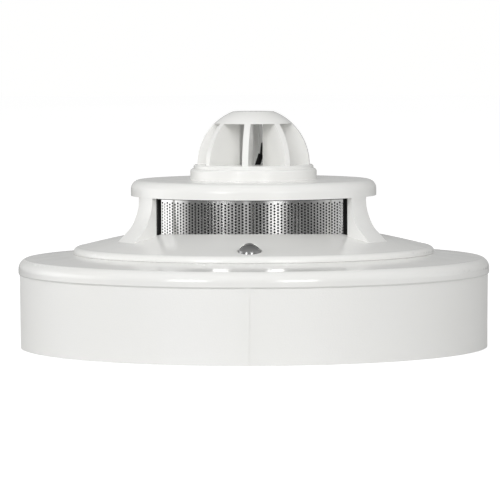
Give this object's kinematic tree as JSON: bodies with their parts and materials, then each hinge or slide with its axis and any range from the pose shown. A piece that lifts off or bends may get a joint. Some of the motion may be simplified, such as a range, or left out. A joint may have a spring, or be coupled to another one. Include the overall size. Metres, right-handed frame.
{
  "type": "heat detector",
  "caption": "Round combined smoke and heat detector: thermistor cage, screened smoke chamber and twist-lock head on a deep mounting base.",
  "frame": {"origin": "centre of the mounting face, where the base meets the ceiling", "axes": "+Z away from the ceiling, towards the thermistor cage; -Y towards the status light; slots lie along X"},
  "size_m": [0.102, 0.102, 0.0509],
  "materials": {
    "white_cover": "moulded gloss",
    "white_base": "fine moulded texture with a gloss band",
    "white_inner": "moulded satin",
    "black_chamber": "matt black",
    "perforated_steel": "bright rolled foil",
    "terminal_brass": "bright plated",
    "spring_bronze": "bright",
    "zinc_screw": "zinc plated",
    "circuit_board": "solder mask",
    "chip_black": "moulded epoxy",
    "chip_body": "fired body with tinned ends",
    "capacitor_can": "drawn can",
    "led_package": "clear resin over white body",
    "smoke_pipe": "polished smoke grey",
    "dark_resin": "polished dark resin",
    "tinned_sheet": "tinned",
    "tinned_wire": "tinned",
    "black_sleeve": "satin"
  },
  "bodies": {
    "base": {"base_skirt": "white_base", "mounting_base": "white_inner", "terminal_brackets": "terminal_brass", "terminal_rivets": "terminal_brass", "contact_springs": "spring_bronze"},
    "head": {"rear_housing": "white_inner", "contact_blades": "terminal_brass", "blade_rivets": "terminal_brass", "housing_screws": "zinc_screw", "main_board": "circuit_board", "microcontroller": "chip_black", "electrolytic_capacitors": "capacitor_can", "small_components": "chip_body", "status_led": "led_package", "light_pipe": "smoke_pipe", "chamber_base": "black_chamber", "chamber_cover": "black_chamber", "ir_emitter": "dark_resin", "photodiode": "dark_resin", "photodiode_shield": "tinned_sheet", "insect_screen": "perforated_steel", "outer_cover": "white_cover", "thermistor_cage": "white_cover", "thermistor_leads": "tinned_wire", "thermistor_sleeve": "black_sleeve", "thermistor_bead": "dark_resin"},
    "clamp_1": {"clamp_plate_1": "zinc_screw"},
    "screw_1": {"terminal_screw_1": "zinc_screw"},
    "clamp_2": {"clamp_plate_2": "zinc_screw"},
    "screw_2": {"terminal_screw_2": "zinc_screw"},
    "clamp_3": {"clamp_plate_3": "zinc_screw"},
    "screw_3": {"terminal_screw_3": "zinc_screw"},
    "clamp_4": {"clamp_plate_4": "zinc_screw"},
    "screw_4": {"terminal_screw_4": "zinc_screw"}
  },
  "joints": [
    {"name": "head_twist", "type": "hinge", "parent": "base", "child": "head", "pos_m": [0, 0, 0.0137], "axis": [0, 0, 1], "range_deg": [0, 20]},
    {"name": "clamp_1_lift", "type": "slide", "parent": "base", "child": "clamp_1", "axis": [0, 0, 1], "range_m": [0, 0.0015]},
    {"name": "screw_1_turn", "type": "hinge", "parent": "clamp_1", "child": "screw_1", "pos_m": [0.01838, 0.01838, 0.007], "axis": [0, 0, 1], "range_deg": [0, 900]},
    {"name": "clamp_2_lift", "type": "slide", "parent": "base", "child": "clamp_2", "axis": [0, 0, 1], "range_m": [0, 0.0015]},
    {"name": "screw_2_turn", "type": "hinge", "parent": "clamp_2", "child": "screw_2", "pos_m": [-0.01838, 0.01838, 0.007], "axis": [0, 0, 1], "range_deg": [0, 900]},
    {"name": "clamp_3_lift", "type": "slide", "parent": "base", "child": "clamp_3", "axis": [0, 0, 1], "range_m": [0, 0.0015]},
    {"name": "screw_3_turn", "type": "hinge", "parent": "clamp_3", "child": "screw_3", "pos_m": [-0.01838, -0.01838, 0.007], "axis": [0, 0, 1], "range_deg": [0, 900]},
    {"name": "clamp_4_lift", "type": "slide", "parent": "base", "child": "clamp_4", "axis": [0, 0, 1], "range_m": [0, 0.0015]},
    {"name": "screw_4_turn", "type": "hinge", "parent": "clamp_4", "child": "screw_4", "pos_m": [0.01838, -0.01838, 0.007], "axis": [0, 0, 1], "range_deg": [0, 900]}
  ],
  "couplings": [
    {"joint": "screw_1_turn", "follows": "clamp_1_lift", "rad_per_m": 10472},
    {"joint": "screw_2_turn", "follows": "clamp_2_lift", "rad_per_m": 10472},
    {"joint": "screw_3_turn", "follows": "clamp_3_lift", "rad_per_m": 10472},
    {"joint": "screw_4_turn", "follows": "clamp_4_lift", "rad_per_m": 10472}
  ]
}
